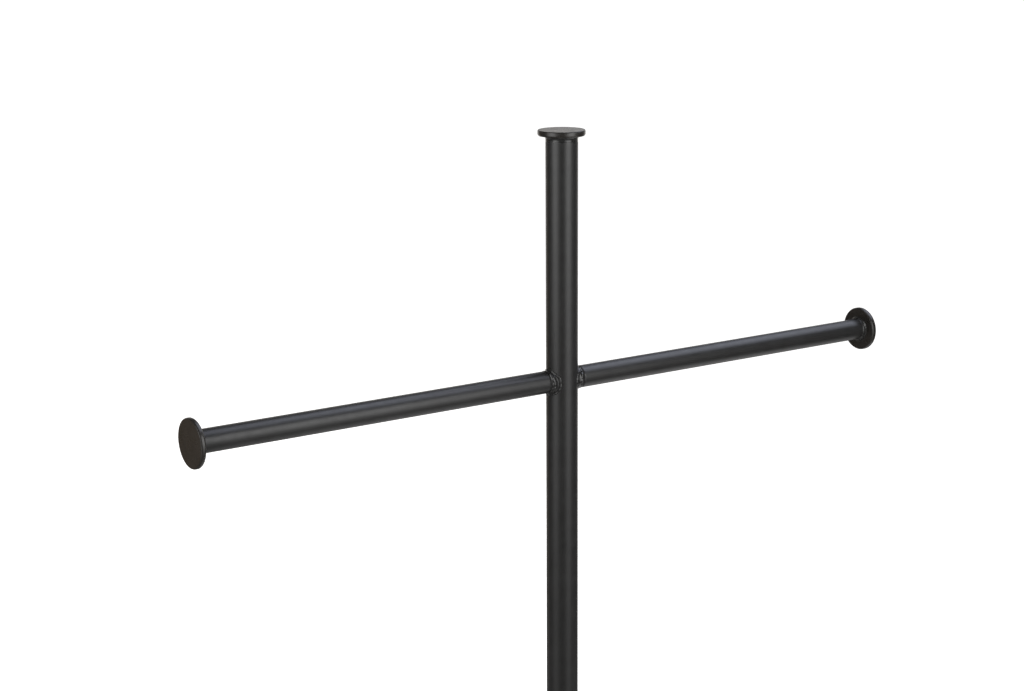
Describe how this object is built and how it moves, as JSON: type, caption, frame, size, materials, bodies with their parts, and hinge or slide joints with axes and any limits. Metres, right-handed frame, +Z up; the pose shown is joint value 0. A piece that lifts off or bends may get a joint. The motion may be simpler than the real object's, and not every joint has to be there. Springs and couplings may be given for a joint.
{
  "type": "standing coat rack",
  "caption": "Free-standing coat rack: round steel post on a heavy disc base, with a straight welded cross-bar ending in flat discs.",
  "frame": {"origin": "on the floor, under the middle of the base plate and on the post's axis", "axes": "+Z up along the post; the cross-bar's two arms run along X, the left arm towards -X and the right arm towards +X"},
  "size_m": [0.812, 0.4, 1.75],
  "materials": {
    "black_tube": "satin black powder coat",
    "black_disc": "satin black powder coat, slightly warm on flat faces",
    "black_weld": "powder coat over a rippled weld, a little glossier",
    "zinc_plate": "bright zinc plate",
    "machined_steel": "turned, uncoated",
    "black_nylon": "matt moulded nylon"
  },
  "bodies": {
    "rack": {"base_plate": "black_disc", "base_flat_washer": "zinc_plate", "base_spring_washer": "zinc_plate", "base_bolt": "zinc_plate", "post_foot_plug": "machined_steel", "post_lower": "black_tube", "post_joint_socket": "machined_steel", "post_joint_stud": "zinc_plate", "post_joint_plug": "machined_steel", "post_upper": "black_tube", "top_disc": "black_disc", "top_disc_weld": "black_weld", "arm_left": "black_tube", "arm_left_weld": "black_weld", "arm_left_disc": "black_disc", "arm_left_disc_weld": "black_weld", "arm_right": "black_tube", "arm_right_weld": "black_weld", "arm_right_disc": "black_disc", "arm_right_disc_weld": "black_weld", "foot_nut_1": "zinc_plate", "foot_nut_2": "zinc_plate", "foot_nut_3": "zinc_plate", "foot_nut_4": "zinc_plate"},
    "foot_1_pad": {"foot_pad_1": "black_nylon"},
    "foot_2_pad": {"foot_pad_2": "black_nylon"},
    "foot_3_pad": {"foot_pad_3": "black_nylon"},
    "foot_4_pad": {"foot_pad_4": "black_nylon"},
    "foot_1_stud": {"foot_stud_1": "zinc_plate"},
    "foot_2_stud": {"foot_stud_2": "zinc_plate"},
    "foot_3_stud": {"foot_stud_3": "zinc_plate"},
    "foot_4_stud": {"foot_stud_4": "zinc_plate"}
  },
  "joints": [
    {"name": "foot_1_height", "type": "slide", "parent": "rack", "child": "foot_1_pad", "axis": [0, 0, -1], "range_m": [0, 0.006]},
    {"name": "foot_1_turn", "type": "hinge", "parent": "foot_1_pad", "child": "foot_1_stud", "pos_m": [0.11667, 0.11667, 0.0088], "axis": [0, 0, -1], "range_deg": [0, 1728]},
    {"name": "foot_2_height", "type": "slide", "parent": "rack", "child": "foot_2_pad", "axis": [0, 0, -1], "range_m": [0, 0.006]},
    {"name": "foot_2_turn", "type": "hinge", "parent": "foot_2_pad", "child": "foot_2_stud", "pos_m": [-0.11667, 0.11667, 0.0088], "axis": [0, 0, -1], "range_deg": [0, 1728]},
    {"name": "foot_3_height", "type": "slide", "parent": "rack", "child": "foot_3_pad", "axis": [0, 0, -1], "range_m": [0, 0.006]},
    {"name": "foot_3_turn", "type": "hinge", "parent": "foot_3_pad", "child": "foot_3_stud", "pos_m": [-0.11667, -0.11667, 0.0088], "axis": [0, 0, -1], "range_deg": [0, 1728]},
    {"name": "foot_4_height", "type": "slide", "parent": "rack", "child": "foot_4_pad", "axis": [0, 0, -1], "range_m": [0, 0.006]},
    {"name": "foot_4_turn", "type": "hinge", "parent": "foot_4_pad", "child": "foot_4_stud", "pos_m": [0.11667, -0.11667, 0.0088], "axis": [0, 0, -1], "range_deg": [0, 1728]}
  ],
  "couplings": [
    {"joint": "foot_1_height", "follows": "foot_1_turn", "m_per_rad": 0.00019894},
    {"joint": "foot_2_height", "follows": "foot_2_turn", "m_per_rad": 0.00019894},
    {"joint": "foot_3_height", "follows": "foot_3_turn", "m_per_rad": 0.00019894},
    {"joint": "foot_4_height", "follows": "foot_4_turn", "m_per_rad": 0.00019894}
  ]
}
